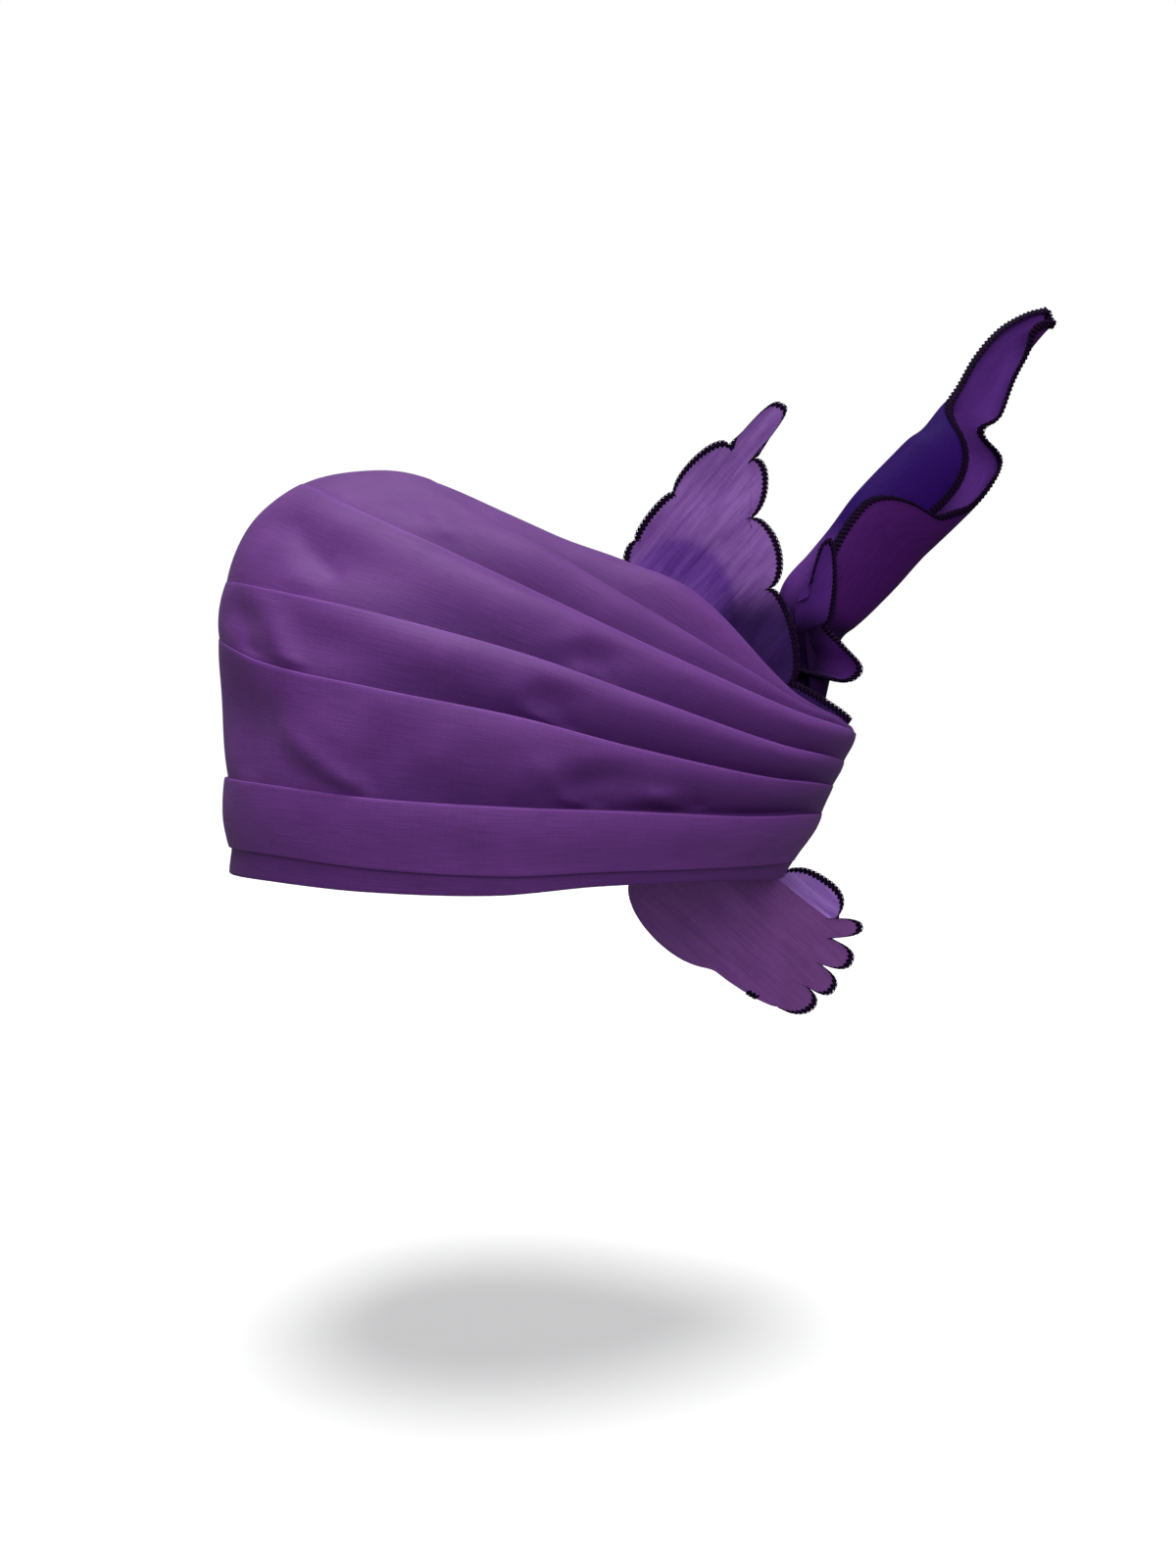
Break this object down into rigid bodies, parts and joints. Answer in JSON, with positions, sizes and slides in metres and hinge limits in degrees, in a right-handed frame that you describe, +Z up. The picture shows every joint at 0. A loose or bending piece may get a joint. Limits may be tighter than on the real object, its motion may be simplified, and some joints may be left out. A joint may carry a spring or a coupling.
{
  "type": "tied head wrap",
  "caption": "Tied head wrap of stiff plain cotton: a hood of overlapping pleats on a brow band, with an upright scalloped leaf, a rolled tail and a nape tail at the back.",
  "frame": {"origin": "middle of the head opening, in the plane of the hem", "axes": "+Z up, the brow toward -Y and the tied back toward +Y, the wearer's left side toward +X"},
  "size_m": [0.1724, 0.3415, 0.2927],
  "materials": {
    "cotton": "plain-woven starched cotton, purple, with a faint sheen"
  },
  "bodies": {
    "root": {"inner_band": "cotton", "brow_band": "cotton", "pleat_1": "cotton", "pleat_2": "cotton", "pleat_3": "cotton", "pleat_4": "cotton", "crown_fold": "cotton", "crown_tuck": "cotton", "leaf_end": "cotton", "rolled_tail": "cotton", "tail_ruffle": "cotton", "nape_tail": "cotton", "nape_turn": "cotton"}
  },
  "joints": []
}
